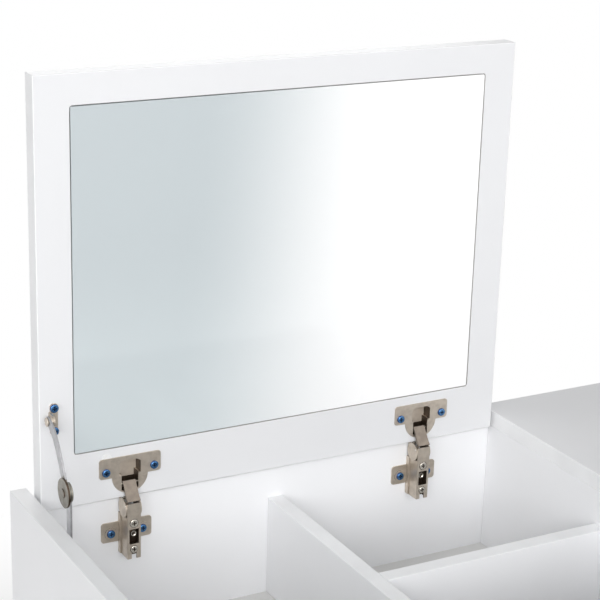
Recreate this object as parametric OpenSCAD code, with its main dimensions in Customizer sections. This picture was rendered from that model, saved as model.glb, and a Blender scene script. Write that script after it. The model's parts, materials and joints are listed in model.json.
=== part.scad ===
// Flip top vanity table: a bay under a mirrored lid on the left, a drawer pedestal on the right.
// Millimetres, +Z up, origin on the floor under the middle of the table.
// The lid is drawn open, upright on its two concealed hinges and its jointed stay.

/* [Table] */
// Width over the two side panels
table_w = 1000; // [900:10:1200]
// Depth from the front edges to the rear edges
table_d = 400; // [380:5:450]
// Height of the closed table top above the floor
table_h = 760; // [720:5:800]
// Thickness of the laminated boards
board_t = 16; // [15:0.5:18]
// Height of the glides under the panels
glide_h = 3; // [2:0.5:8]
// Diameter of the glides
glide_d = 14; // [10:1:15]

/* [Dressing bay] */
// Clear width of the bay between its two walls
bay_w = 500; // [440:5:560]
// Depth of the bay below the closed table top
bay_deep = 152; // [130:2:200]
// Drop from the table top to the tops of the dividers
divider_drop = 50; // [30:2:80]
// Clear depth of the rear right compartment
rear_cell_d = 184.5; // [120:0.5:240]

/* [Lid] */
// Thickness of the lid board
lid_t = 18; // [16:0.5:20]
// Gap between the lid and each neighbour
lid_gap = 4.5; // [2:0.5:6]
// Gap under the closed lid
lid_lift = 1.5; // [1.4:0.1:3]
// Distance of the open lid's inner face in front of the rear board
lid_forward = 9.8; // [9.4:0.1:10.4]
// Height of the open lid's lower edge above the closed lid's underside
lid_rise = 3.3; // [3:0.1:4]

/* [Mirror] */
// Margin at each side of the mirror
mirror_side = 33.5; // [20:0.5:60]
// Thickness of the mirror glass
mirror_t = 4; // [3:0.5:5]
// Margin above the mirror
mirror_top = 29; // [15:1:80]
// Margin below the mirror, where the hinges are
mirror_bottom = 51; // [48:1:150]
// Corner radius of the mirror glass
mirror_r = 1.5; // [0.5:0.5:12]
// Width of the groove round the mirror glass
mirror_gap = 0.8; // [0.3:0.1:1.5]

/* [Hinges] */
// Distance of each hinge from the lid's nearer edge
hinge_inset = 87; // [80:1:110]
// Diameter of the hinge cup
cup_d = 35; // [34.6:0.1:35.4]
// Depth of the hinge cup
cup_deep = 11.5; // [11.3:0.1:12.5]
// Distance of the cup's edge from the lid's edge
cup_edge = 3.8; // [3.4:0.1:4.2]
// Width of the hinge's flange plate
flange_w = 61.5; // [56:0.5:66]
// Height of the hinge's flange plate
flange_h = 20; // [19:0.5:22]
// Thickness of the hinge's flange plate
flange_t = 1.2; // [0.8:0.1:1.25]
// Distance between the two cup screws
cup_screw_gap = 48; // [46:1:52]
// Width of the hinge arm
arm_w = 13.5; // [13:0.1:14]
// Length of the hinge arm
arm_l = 58.7; // [56:0.1:62]
// Distance between the two mounting plate screws
plate_screw_gap = 32; // [31:1:36]

/* [Stay] */
// Thickness of the stay's two arms
stay_t = 1.8; // [1:0.1:2]
// Width of the stay's two arms
stay_w = 9.5; // [6:0.5:12]
// Diameter of the stay's friction knuckle
knuckle_d = 27; // [25:0.5:28]

/* [Pedestal] */
// Number of drawers
drawer_count = 3; // [3:1:3]
// Height of the plinth rail under the pedestal
plinth_h = 61; // [40:1:100]
// Gap round each drawer front
front_gap = 3; // [2:0.5:5]
// Height of the drawer box's sides
box_h = 130; // [100:5:150]
// Room behind the drawer boxes
box_rear_room = 31; // [26:1:80]
// Thickness of the drawer box's boards
box_t = 12; // [10:0.5:15]
// Thickness of the drawer bottoms and of the pedestal's back
thin_t = 3; // [3:0.5:5]
// Reach of the knobs in front of the drawers
knob_reach = 24; // [18:1:30]
// Diameter of the knobs
knob_d = 28; // [20:1:36]

/* [Hidden] */

$fn = 48;
cut = 1;              // what a cutter runs past the face that it opens
fit = 0.1;            // radial room round a fixed pin, screw or disc
running = 0.05;       // radial room round a pivot

// Table planes
left_x = -table_w / 2;
right_x = table_w / 2;
rear_y = (table_d + knob_reach) / 2;
front_y = rear_y - table_d;
bay_x0 = left_x + board_t;
bay_x1 = bay_x0 + bay_w;
ped_x0 = bay_x1 + board_t;
ped_x1 = right_x - board_t;
top_z = table_h - board_t;
rim_z = table_h - lid_t - lid_lift;
floor_z = table_h - bay_deep;
divider_z = table_h - divider_drop;
bay_back_y = rear_y - board_t;
bay_front_y = front_y + board_t;
bay_mid_x = (bay_x0 + bay_x1) / 2;
plinth_z = glide_h + plinth_h;
ped_floor_z = plinth_z + board_t;
plinth_setback = 20;
stretcher_h = 100;
stretcher_z = 150;

// Lid and mirror
lid_w = bay_w - 2 * lid_gap;
lid_h = table_d;
lid_x = bay_x0 + lid_gap;
lid_y = bay_back_y - lid_forward;
lid_z = table_h - lid_t + lid_rise;
mirror_w = lid_w - 2 * mirror_side;
mirror_h = lid_h - mirror_top - mirror_bottom;
mirror_z = mirror_bottom;
bumper_d = 8;
bumper_inset = 40;

// Hinge pivots in the lid frame, [y, z] from the open lid's inner lower edge.
// Closing turns the lid 90 degrees about the pole. Each arm pivot lies on the line
// through the pole on which a link meets its lid pivot in both end positions.
pole = [(lid_forward + board_t + lid_rise) / 2, (lid_forward + board_t - lid_rise) / 2];
outer_lid = [3, 12];
inner_lid = [6, 9];
outer_reach = 28;
inner_reach = 18;
function turned(v, a) = [v[0] * cos(a) - v[1] * sin(a), v[0] * sin(a) + v[1] * cos(a)];
function arm_pivot(at, reach) = pole + reach * turned((at - pole) / norm(at - pole), 45);
outer_arm = arm_pivot(outer_lid, outer_reach);
inner_arm = arm_pivot(inner_lid, inner_reach);
outer_l = norm(outer_lid - outer_arm);
outer_tilt = atan2(outer_lid[1] - outer_arm[1], outer_lid[0] - outer_arm[0]);
outer_pin_r = 1.2;
inner_pin_r = 0.9;

// Hinge cup
cup_z = cup_edge + cup_d / 2;
cup_rim = 0.5;
cup_rim_t = 0.6;
cup_wall = 1;
cup_floor = 1;
flange_z = 21;
flange_r = 3;
pocket_half = 10.5;
pocket_z0 = 22.5;
pocket_z1 = 36.5;
throat_half = 8.4;
throat_z = 5.4;
notch_half = 4;
notch_deep = 9.7;
cup_screw_z = 27.3;

// Hinge links
ear_t = 1.2;
ear_r = 2.2;
ear_lid_r = 2.4;
strap_half = 6.5;
strap_top_half = 6;
strap_t = 1.2;
inner_half = 3.5;
inner_r = 0.75;
inner_eye_r = 1.7;
inner_bow = [7.95, 2.25];
outer_ear_x = strap_half - 0.1 - ear_t;

// Hinge arm and mounting plate
arm_y = -10;
arm_z = -1.6;
arm_t = 1.2;
arm_half = arm_w / 2;
cheek_t = 1.25;
cheek_r = 9.2;
cheek_at = [-0.6, -11];
cheek_pin_r = 1.9;
cheek_tip_r = 2.5;
arm_bottom = arm_z - arm_l;
plate_t = 1.5;
plate_w = 51;
plate_h = 20;
plate_z = -38.5;
rail_half = 8;
rail_l = 41;
rail_z = -39.4;
rail_y = 4.5;
rib_half = 5.2;
rib_y = -2;
plate_screw_z = -39.8;
side_screw_z = -24.4;
side_screw_d = 8.5;
window_half = 4.7;
window_z0 = -45.1;
window_z1 = -30.3;
fix_screw_z = -50.8;
fix_screw_d = 7.5;
fork_half = 2.4;
fork_l = 6;

// Screws
screw_d = 3.5;
screw_head_d = 8;
screw_head_t = 1.8;
screw_l = 13;
cross_w = 1.1;
cross_l = 4.4;

// Stay pivots in the lid frame, [y, z]
stay_lid = [-9.5, 91];
stay_bend = [-52, 40];
stay_side = [-52, -34];
stay_layer_gap = 0.4;
stay_upper_x = 4.3;
stay_lower_x = stay_upper_x + stay_t + stay_layer_gap;
stay_ear_x = 8.6;
stay_ear_t = 1.5;
stay_pin_r = 2.5;
stay_head_r = 4.2;
stay_head_t = 0.9;
stay_play = 2.7;
stay_ring_r = 9;
drum_t = 2.1;
drum_x = stay_upper_x - stay_layer_gap - drum_t;
stay_plate_x = 9.8;
stay_plate_w = 7.4;
stay_plate_z = 74;
stay_plate_h = 30;
stay_screw_x = 13.7;
stay_screw_z = [77.5, 99.5];
bracket_w = 18;
bracket_h = 46;
bracket_t = 1.5;
bracket_z = -46;
bracket_screw_z = [-13, -22];
stay_screw_l = 11;
cap_r = 5.2;
cap_at = [hinge_inset - 23, 40.5];
cap_t = 0.8;

// Fittings between the boards
dowel_d = 8;
dowel_l = 30;
dowel_in = 10;
cam_d = 15;
cam_t = 12.3;
cam_back = 24;
cam_inset = 60;

// Drawers and runners
bank_z0 = ped_floor_z + front_gap;
front_h = (top_z - bank_z0 - front_gap * drawer_count) / drawer_count;
front_pitch = front_h + front_gap;
runner_room = 13;
runner_h = 45;
runner_t = 1.2;
runner_lip = 9;
runner_play = 0.3;
runner_web_gap = 0.2;
box_w = ped_x1 - ped_x0 - 2 * runner_room;
box_l = table_d - board_t - thin_t - box_rear_room;
box_lift = 15;
runner_up = 40;
groove_up = 8;
groove_in = 5;
knob_base_d = 14;
knob_neck_d = 9;
knob_neck_l = 10;
knob_edge = 3;
top_z0 = bank_z0 + 2 * front_pitch;
middle_z0 = bank_z0 + front_pitch;
bottom_z0 = bank_z0;

// Colours
white = "whitesmoke";
raw = "burlywood";
nickel = "rosybrown";
zinc = "silver";
blue = "steelblue";

// ---------- shared shapes ----------

// A board between two corners
module board(low, high) {
    translate(low) cube(high - low);
}

// Turns an outline drawn in [y, z] into a plate from x0 to x0 + t
module plate_yz(x0, t) {
    translate([x0, 0, 0]) rotate([90, 0, 90]) linear_extrude(height = t) children();
}

// A bar of half width r with round ends between two points of a plane
module bar(a, b, r) {
    translate(a) circle(r = r);
    translate(b) circle(r = r);
    translate(a) rotate(atan2(b[1] - a[1], b[0] - a[0])) translate([0, -r])
        square([norm(b - a), 2 * r]);
}

// A rectangle with round corners, from circles and squares
module round_rect(w, h, r) {
    translate([r, 0]) square([w - 2 * r, h]);
    translate([0, r]) square([w, h - 2 * r]);
    for (x = [r, w - r], y = [r, h - r]) translate([x, y]) circle(r = r);
}

// A shaft along X through a point [y, z]
module shaft_x(at, x0, x1, r) {
    translate([x0, at[0], at[1]]) rotate([0, 90, 0]) cylinder(r = r, h = x1 - x0);
}

// A cross-head screw, its head's top at the origin, its shank along +Y
module screw_y(shank) {
    difference() {
        union() {
            rotate([-90, 0, 0]) cylinder(d = screw_head_d, h = screw_head_t);
            rotate([-90, 0, 0]) cylinder(d = screw_d, h = screw_head_t + shank);
        }
        for (a = [0, 90]) rotate([0, a, 0])
            translate([-cross_l / 2, -cut, -cross_w / 2]) cube([cross_l, cut + 1.1, cross_w]);
    }
}

// The room that a screw's shank takes in a board or a plate
module screw_room_y(shank) {
    translate([0, -cut, 0]) rotate([-90, 0, 0]) cylinder(d = screw_d + 2 * fit, h = shank + cut);
}

// The lid frame: the open lid's inner lower left corner
module in_lid() {
    translate([lid_x, lid_y, lid_z]) children();
}

// One hinge's frame: side -1 is the left hinge and 1 the right
function hinge_x(side) = side < 0 ? hinge_inset : lid_w - hinge_inset;
module at_hinge(side) {
    in_lid() translate([hinge_x(side), 0, 0]) children();
}
module at_hinges() {
    for (side = [-1, 1]) at_hinge(side) children();
}

// ---------- boards ----------

// Dowels that lie along X at the ends of the apron and the bay's rear board
dowel_zs = [floor_z + board_t, rim_z - board_t - dowel_in];
dowel_ys = [front_y + board_t / 2, rear_y - board_t / 2];
module at_dowels() {
    for (x = [bay_x0, bay_x1], y = dowel_ys, z = dowel_zs) translate([x, y, z]) {
        turn = x == bay_x0 ? 1 : -1;
        translate([-turn * dowel_in, 0, 0]) rotate([0, turn * 90, 0]) children();
    }
    for (y = [front_y + cam_inset, rear_y - cam_inset])
        translate([bay_x1 + board_t / 2, y, top_z - dowel_l + dowel_in]) children();
}
module dowel_holes() {
    at_dowels() translate([0, 0, -fit]) cylinder(d = dowel_d + 2 * fit, h = dowel_l + 2 * fit);
}

// Cam discs that draw the boards together, in blind holes in hidden faces
module at_cams() {
    for (y = [bay_front_y + cam_inset, bay_back_y - cam_inset])
        for (x = [bay_x0 + cam_back, bay_x1 - cam_back])
            translate([x, y, floor_z - board_t]) children();
    for (y = [bay_front_y + cam_inset, bay_back_y - cam_inset])
        for (x = [ped_x0 + cam_back, ped_x1 - cam_back])
            translate([x, y, plinth_z]) children();
    for (y = [bay_front_y + cam_inset, bay_back_y - cam_inset])
        translate([ped_x1 - cam_back, y, top_z]) children();
    for (x = [bay_x0 + cam_back, bay_x1 - cam_back])
        translate([x, rear_y, stretcher_z + stretcher_h / 2]) rotate([90, 0, 0]) children();
}
module cam_holes() {
    at_cams() translate([0, 0, -cut]) cylinder(d = cam_d + 2 * fit, h = cam_t + fit + cut);
}

module left_side_panel() {
    color(white) difference() {
        board([left_x, front_y, glide_h], [bay_x0, rear_y, table_h]);
        dowel_holes();
        stay_side_screw_room();
    }
}
module centre_wall() {
    color(white) difference() {
        board([bay_x1, front_y, glide_h], [ped_x0, rear_y, top_z]);
        dowel_holes();
    }
}
module right_side_panel() {
    color(white) board([ped_x1, front_y, glide_h], [right_x, rear_y, table_h]);
}
module fixed_top() {
    color(white) difference() {
        board([bay_x1, front_y, top_z], [ped_x1, rear_y, table_h]);
        dowel_holes();
        cam_holes();
    }
}
module bay_back_panel() {
    color(white) difference() {
        board([bay_x0, bay_back_y, floor_z - board_t], [bay_x1, rear_y, rim_z]);
        dowel_holes();
        at_hinges() for (x = [-1, 1])
            translate([x * plate_screw_gap / 2, lid_forward, plate_screw_z])
                screw_room_y(screw_l);
    }
}
module front_apron() {
    color(white) difference() {
        board([bay_x0, front_y, floor_z - board_t], [bay_x1, bay_front_y, rim_z]);
        dowel_holes();
    }
}
module bay_floor() {
    color(white) difference() {
        board([bay_x0, bay_front_y, floor_z - board_t], [bay_x1, bay_back_y, floor_z]);
        cam_holes();
    }
}
module long_divider() {
    color(white) board([bay_mid_x - board_t / 2, bay_front_y, floor_z],
        [bay_mid_x + board_t / 2, bay_back_y, divider_z]);
}
module cross_divider() {
    color(white) board([bay_mid_x + board_t / 2, bay_back_y - rear_cell_d - board_t, floor_z],
        [bay_x1, bay_back_y - rear_cell_d, divider_z]);
}
module pedestal_back() {
    color(white) board([ped_x0, rear_y - thin_t, plinth_z], [ped_x1, rear_y, top_z]);
}
module pedestal_bottom() {
    color(white) difference() {
        board([ped_x0, front_y, plinth_z], [ped_x1, rear_y - thin_t, ped_floor_z]);
        cam_holes();
    }
}
module plinth_rail() {
    color(white) board([ped_x0, front_y + plinth_setback, glide_h],
        [ped_x1, front_y + plinth_setback + board_t, plinth_z]);
}
module rear_stretcher() {
    color(white) difference() {
        board([bay_x0, bay_back_y, stretcher_z], [bay_x1, rear_y, stretcher_z + stretcher_h]);
        cam_holes();
    }
}
module floor_glides() {
    color(zinc) for (x = [left_x, bay_x1, ped_x1], y = [front_y + cam_inset, rear_y - cam_inset])
        translate([x + board_t / 2, y, 0]) {
            cylinder(d = glide_d - 2, h = 1);
            translate([0, 0, 1]) cylinder(d = glide_d, h = glide_h - 1);
        }
}
module cam_locks() {
    color(zinc) at_cams() difference() {
        cylinder(d = cam_d, h = cam_t);
        for (a = [0, 90]) rotate(a)
            translate([-cross_l, -cross_w, -cut]) cube([2 * cross_l, 2 * cross_w, cut + 3]);
    }
}
module dowels() {
    color(raw) at_dowels() cylinder(d = dowel_d, h = dowel_l);
}
module lid_bumpers() {
    color("lightcyan") for (x = [bay_x0 + bumper_inset, bay_x1 - bumper_inset])
        translate([x, front_y + board_t / 2, rim_z])
            cylinder(d1 = bumper_d, d2 = bumper_d - 2, h = lid_lift - fit);
}

// ---------- lid ----------

module lid_board() {
    color(white) difference() {
        in_lid() cube([lid_w, lid_t, lid_h]);
        at_hinges() {
            translate([0, -cut, cup_z]) rotate([-90, 0, 0])
                cylinder(d = cup_d + 2 * fit, h = cup_deep + fit + cut, $fn = 96);
            translate([-notch_half, -cut, -cut])
                cube([2 * notch_half, notch_deep + cut, cup_z]);
            for (x = [-1, 1]) translate([x * cup_screw_gap / 2, 0, cup_screw_z])
                screw_room_y(screw_l);
        }
        in_lid() for (z = stay_screw_z) translate([stay_screw_x, 0, z])
            screw_room_y(screw_l);
        in_lid() mirror_block(mirror_gap, cut);
    }
}

// The mirror glass, grown at its sides and its face; its face is flush with the lid
module mirror_block(grown, proud) {
    translate([mirror_side - grown, mirror_t, mirror_z - grown]) rotate([90, 0, 0])
        linear_extrude(height = mirror_t + proud)
            round_rect(mirror_w + 2 * grown, mirror_h + 2 * grown, mirror_r + grown);
}
module mirror_glass() {
    color("lightsteelblue") in_lid() mirror_block(0, 0);
}

// ---------- concealed hinges ----------

// The pocket in the cup that the links and the end of the arm fold into
module cup_pocket() {
    intersection() {
        union() {
            translate([-pocket_half, -cut - flange_t, pocket_z0])
                cube([2 * pocket_half, cup_deep - cup_floor + flange_t + cut,
                    pocket_z1 - pocket_z0]);
            translate([-throat_half, -cut - flange_t, throat_z])
                cube([2 * throat_half, cup_deep - cup_floor + flange_t + cut,
                    pocket_z0 - throat_z + fit]);
        }
        translate([0, -2 * cut - flange_t, cup_z]) rotate([-90, 0, 0])
            cylinder(r = cup_d / 2 - cup_wall, h = 2 * cup_deep, $fn = 96);
    }
    translate([-notch_half, -cut - flange_t, 0])
        cube([2 * notch_half, notch_deep + flange_t + cut, cup_z]);
}
module hinge_cup(side) {
    color(nickel) at_hinge(side) difference() {
        union() {
            translate([0, 0, cup_z]) rotate([-90, 0, 0])
                cylinder(d = cup_d, h = cup_deep, $fn = 96);
            translate([0, -cup_rim_t, cup_z]) rotate([-90, 0, 0])
                cylinder(r = cup_d / 2 + cup_rim, h = cup_rim_t, $fn = 96);
            translate([-flange_w / 2, 0, flange_z]) rotate([90, 0, 0])
                linear_extrude(height = flange_t) round_rect(flange_w, flange_h, flange_r);
        }
        cup_pocket();
        for (x = [-1, 1]) {
            translate([x * cup_screw_gap / 2, -flange_t, cup_screw_z]) screw_room_y(screw_l);
            shaft_x(outer_lid, x < 0 ? -throat_half - 2 : throat_half - cut,
                x < 0 ? -throat_half + cut : throat_half + 2, outer_pin_r + fit / 2);
        }
    }
}
module left_hinge_cup() { hinge_cup(-1); }
module right_hinge_cup() { hinge_cup(1); }
module cup_screws() {
    color(blue) at_hinges() for (x = [-1, 1])
        translate([x * cup_screw_gap / 2, -flange_t - screw_head_t, cup_screw_z])
            screw_y(screw_l);
}
module cup_pins() {
    color(zinc) at_hinges() for (x = [-1, 1])
        shaft_x(outer_lid, x < 0 ? -throat_half - 2 + fit : outer_ear_x,
            x < 0 ? -outer_ear_x : throat_half + 2 - fit, outer_pin_r);
}

// The outer link in its own plane: u runs from the arm pivot to the lid pivot, v to the front
strap_u0 = 5.5;
strap_v0 = 5.2;
strap_u1 = 22;
strap_v1 = 2.45;
module outer_link_side() {
    difference() {
        union() {
            circle(r = ear_r);
            translate([outer_l, 0]) circle(r = ear_lid_r);
            polygon([[0, 0], [0.6, 2.1], [4.4, 4.4], [strap_u0, strap_v0],
                [strap_u1, strap_v1], [outer_l, 0], [outer_l - 2.5, 1], [4, 2], [2, 0]]);
        }
        circle(r = outer_pin_r + running);
        translate([outer_l, 0]) circle(r = outer_pin_r + running);
    }
}
module outer_link(side) {
    lean = atan2(strap_v1 - strap_v0, strap_u1 - strap_u0);
    long = norm([strap_u1 - strap_u0, strap_v1 - strap_v0]);
    color(nickel) at_hinge(side) translate([0, outer_arm[0], outer_arm[1]])
        rotate([outer_tilt, 0, 0]) {
            for (x = [-outer_ear_x - ear_t, outer_ear_x])
                plate_yz(x, ear_t) outer_link_side();
            translate([0, strap_u0, strap_v0]) rotate([lean, 0, 0])
                translate([0, 0, -strap_t]) linear_extrude(height = strap_t)
                    polygon([[-strap_half, 0], [strap_half, 0], [strap_top_half, long],
                        [-strap_top_half, long]]);
        }
}
module left_outer_link() { outer_link(-1); }
module right_outer_link() { outer_link(1); }

// The inner link is bowed, so that it folds past the lid's edge
module inner_link(side) {
    color(zinc) at_hinge(side) plate_yz(-inner_half, 2 * inner_half) difference() {
        union() {
            translate(inner_arm) circle(r = inner_eye_r);
            bar(inner_arm, inner_bow, inner_r);
            bar(inner_bow, inner_lid, inner_r);
            translate(inner_lid) circle(r = inner_pin_r + 0.4);
        }
        translate(inner_arm) circle(r = inner_pin_r + running);
    }
}
module left_inner_link() { inner_link(-1); }
module right_inner_link() { inner_link(1); }

// The arm: a channel over the mounting plate's rail, with two cheeks that hold the link pins
module hinge_arm(side) {
    color(nickel) at_hinge(side) difference() {
        union() {
            difference() {
                translate([-arm_half, arm_y, arm_bottom])
                    cube([arm_w, rail_y - arm_y, arm_l]);
                translate([-arm_half + arm_t, arm_y + arm_t, arm_bottom - cut])
                    cube([arm_w - 2 * arm_t, rail_y - arm_y, arm_l + 2 * cut]);
                // The links turn in the open front end
                translate([-arm_half - cut, arm_y + arm_t, cheek_at[1] - cheek_r + arm_t])
                    cube([arm_w + 2 * cut, rail_y - arm_y, arm_l]);
            }
            for (x = [-arm_half - cheek_t, arm_half])
                plate_yz(x, cheek_t) {
                    translate(cheek_at) circle(r = cheek_r, $fn = 72);
                    translate(inner_arm) circle(r = cheek_pin_r);
                    translate(outer_arm) circle(r = cheek_tip_r);
                }
        }
        translate([0, arm_y - cut, side_screw_z]) rotate([-90, 0, 0])
            cylinder(d = side_screw_d + 2 * fit, h = arm_t + 2 * cut);
        translate([-window_half, arm_y - cut, window_z0])
            cube([2 * window_half, arm_t + 2 * cut, window_z1 - window_z0]);
        translate([0, arm_y - cut, fix_screw_z]) rotate([-90, 0, 0])
            cylinder(d = fix_screw_d + 2 * fit, h = arm_t + 2 * cut);
        translate([-fork_half, arm_y - cut, arm_bottom - cut])
            cube([2 * fork_half, arm_t + 2 * cut, fork_l + cut]);
        shaft_x(outer_arm, -arm_w, arm_w, outer_pin_r + running);
        shaft_x(inner_arm, -arm_w, arm_w, inner_pin_r + running);
    }
}
module left_hinge_arm() { hinge_arm(-1); }
module right_hinge_arm() { hinge_arm(1); }
module arm_pins() {
    color(zinc) at_hinges() {
        shaft_x(outer_arm, -arm_half - cheek_t, arm_half + cheek_t, outer_pin_r);
        shaft_x(inner_arm, -arm_half - cheek_t, arm_half + cheek_t, inner_pin_r);
    }
}
module hinge_adjusting_screws() {
    color(zinc) at_hinges() for (s = [[side_screw_z, side_screw_d], [fix_screw_z, fix_screw_d]])
        translate([0, arm_y - 0.6, s[0]]) difference() {
            rotate([-90, 0, 0]) cylinder(d = s[1], h = rib_y - arm_y + 0.6);
            for (a = [0, 90]) rotate([0, a, 0]) translate([-cross_l / 2, -cut, -cross_w / 2])
                cube([cross_l, cut + 1.3, cross_w]);
        }
}
module mounting_plate(side) {
    color(nickel) at_hinge(side) difference() {
        union() {
            translate([-plate_w / 2, lid_forward, plate_z - plate_h / 2]) rotate([90, 0, 0])
                linear_extrude(height = plate_t) round_rect(plate_w, plate_h, flange_r);
            translate([-rail_half, rail_y, rail_z - rail_l / 2])
                cube([2 * rail_half, lid_forward - rail_y, rail_l]);
            translate([-rib_half, rib_y, rail_z - rail_l / 2])
                cube([2 * rib_half, rail_y - rib_y, rail_l]);
            for (x = [-1, 1])
                translate([x * plate_screw_gap / 2, lid_forward, plate_screw_z])
                    rotate([90, 0, 0])
                        cylinder(d = screw_head_d + 4, h = plate_t + 0.6);
        }
        for (x = [-1, 1])
            translate([x * plate_screw_gap / 2, lid_forward - plate_t - 0.6, plate_screw_z])
                screw_room_y(screw_l);
    }
}
module left_mounting_plate() { mounting_plate(-1); }
module right_mounting_plate() { mounting_plate(1); }
module mounting_plate_screws() {
    color(blue) at_hinges() for (x = [-1, 1])
        translate([x * plate_screw_gap / 2, lid_forward - plate_t - 0.6 - screw_head_t,
            plate_screw_z]) screw_y(screw_l);
}

// ---------- lid stay ----------

// The side panel's inner face in the lid frame
side_face_x = -lid_gap;

module at_side_screws() {
    in_lid() for (z = bracket_screw_z)
        translate([side_face_x + bracket_t + screw_head_t, stay_side[0], z]) rotate([0, 0, 90])
            children();
}
module stay_side_screw_room() {
    at_side_screws() screw_room_y(screw_head_t + bracket_t + stay_screw_l);
}
module stay_side_bracket() {
    color(zinc) difference() {
        in_lid() {
            translate([side_face_x, stay_side[0] - bracket_w / 2, bracket_z])
                rotate([90, 0, 90]) linear_extrude(height = bracket_t)
                    round_rect(bracket_w, bracket_h - stay_layer_gap, flange_r);
            shaft_x(stay_side, side_face_x + bracket_t, stay_lower_x - stay_layer_gap,
                stay_head_r);
            shaft_x(stay_side, side_face_x + bracket_t, stay_lower_x + stay_t + stay_layer_gap,
                stay_pin_r);
            shaft_x(stay_side, stay_lower_x + stay_t + stay_layer_gap,
                stay_lower_x + stay_t + stay_layer_gap + stay_head_t, stay_head_r);
        }
        stay_side_screw_room();
    }
}
module stay_side_screws() {
    color(blue) at_side_screws() screw_y(bracket_t + stay_screw_l - cut);
}
module stay_lid_bracket() {
    color(zinc) difference() {
        in_lid() {
            translate([stay_plate_x, 0, stay_plate_z]) rotate([90, 0, 0])
                linear_extrude(height = bracket_t)
                    round_rect(stay_plate_w, stay_plate_h, flange_r);
            plate_yz(stay_ear_x, stay_ear_t) {
                bar([-stay_head_r - 1, stay_lid[1]], stay_lid, stay_head_r + 1);
                translate([-stay_head_r - 1, stay_lid[1] - stay_head_r - 1])
                    square([stay_head_r + 1, 2 * stay_head_r + 2]);
            }
            shaft_x(stay_lid, stay_upper_x + stay_t + stay_layer_gap, stay_ear_x, stay_head_r);
            shaft_x(stay_lid, stay_upper_x - stay_layer_gap, stay_ear_x, stay_pin_r);
            shaft_x(stay_lid, stay_upper_x - stay_layer_gap - stay_head_t,
                stay_upper_x - stay_layer_gap, stay_head_r);
        }
        in_lid() for (z = stay_screw_z) translate([stay_screw_x, -bracket_t, z])
            screw_room_y(screw_l);
    }
}
module stay_lid_screws() {
    color(blue) in_lid() for (z = stay_screw_z)
        translate([stay_screw_x, -bracket_t - screw_head_t, z]) screw_y(stay_screw_l);
}
module stay_upper_arm() {
    color(zinc) in_lid() plate_yz(stay_upper_x, stay_t) difference() {
        union() {
            bar(stay_lid, stay_bend, stay_w / 2);
            translate(stay_lid) circle(r = stay_head_r + 0.6);
            translate(stay_bend) circle(r = stay_ring_r);
        }
        translate(stay_lid) circle(r = stay_pin_r + running);
        translate(stay_bend) circle(r = stay_pin_r + stay_play);
    }
}
module stay_lower_arm() {
    color(zinc) in_lid() plate_yz(stay_lower_x, stay_t) difference() {
        union() {
            bar(stay_side, stay_bend, stay_w / 2);
            translate(stay_side) circle(r = stay_head_r + 0.6);
            translate(stay_bend) circle(r = stay_ring_r);
        }
        translate(stay_side) circle(r = stay_pin_r + running);
        translate(stay_bend) circle(r = stay_pin_r + running);
    }
}
module stay_knuckle() {
    color(nickel) in_lid() {
        shaft_x(stay_bend, drum_x, drum_x + drum_t, knuckle_d / 2);
        shaft_x(stay_bend, drum_x - stay_head_t, drum_x, stay_head_r);
        shaft_x(stay_bend, drum_x, stay_lower_x + stay_t, stay_pin_r);
        shaft_x(stay_bend, stay_lower_x + stay_t, stay_lower_x + stay_t + stay_head_t,
            stay_head_r);
    }
}
module hole_cap() {
    color("white") in_lid() difference() {
        translate([cap_at[0], 0, cap_at[1]]) rotate([90, 0, 0]) cylinder(r = cap_r, h = cap_t);
        translate([cap_at[0] - 2 * cap_r, -cut - cap_t, cap_at[1] - 2 * cap_r])
            cube([4 * cap_r, cap_t + 2 * cut, flange_z + flange_h + fit - cap_at[1]
                + 2 * cap_r]);
    }
}

// ---------- drawers ----------

// A steel channel along Y that opens towards +X, seen end on as [x, z]
module channel(depth, h, l) {
    rotate([-90, 0, 0]) mirror([0, 1, 0]) linear_extrude(height = l) difference() {
        square([depth, h]);
        translate([runner_t, runner_t]) square([depth, h - 2 * runner_t]);
    }
}
module at_runner_heights() {
    for (z = [top_z0, middle_z0, bottom_z0]) translate([0, 0, z + runner_up]) children();
}
module cabinet_runners() {
    color(zinc) at_runner_heights() {
        translate([ped_x0, bay_front_y, 0]) channel(runner_lip, runner_h, box_l);
        translate([ped_x1, bay_front_y, 0]) mirror([1, 0, 0]) channel(runner_lip, runner_h, box_l);
    }
}

// The drawer's own runner turns its back to the box and runs inside the cabinet's channel
module drawer_runners(z0) {
    in_h = runner_h - 2 * runner_t - 2 * runner_play;
    in_d = runner_room - runner_t - runner_web_gap;
    color(zinc) for (s = [0, 1])
        translate([s == 0 ? ped_x0 + runner_room : ped_x1 - runner_room, bay_front_y,
            z0 + runner_up + runner_t + runner_play])
                mirror([s == 0 ? 1 : 0, 0, 0]) channel(in_d, in_h, box_l);
}
module drawer_front(z0) {
    color(white) board([ped_x0 + front_gap, front_y, z0],
        [ped_x1 - front_gap, bay_front_y, z0 + front_h]);
}
module drawer_box(z0) {
    x0 = ped_x0 + runner_room;
    x1 = ped_x1 - runner_room;
    y1 = bay_front_y + box_l;
    low = z0 + box_lift;
    color(white) difference() {
        union() {
            board([x0, bay_front_y, low], [x0 + box_t, y1, low + box_h]);
            board([x1 - box_t, bay_front_y, low], [x1, y1, low + box_h]);
            board([x0 + box_t + fit, y1 - box_t, low], [x1 - box_t - fit, y1, low + box_h]);
        }
        translate([x0 + box_t - groove_in, bay_front_y - cut, low + groove_up - fit])
            cube([box_w - 2 * box_t + 2 * groove_in, box_l - box_t + groove_in + cut,
                thin_t + 2 * fit]);
    }
}
module drawer_bottom(z0) {
    low = z0 + box_lift + groove_up;
    color(white) board([ped_x0 + runner_room + box_t - groove_in + fit, bay_front_y, low],
        [ped_x1 - runner_room - box_t + groove_in - fit,
            bay_front_y + box_l - box_t + groove_in - fit, low + thin_t]);
}
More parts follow.
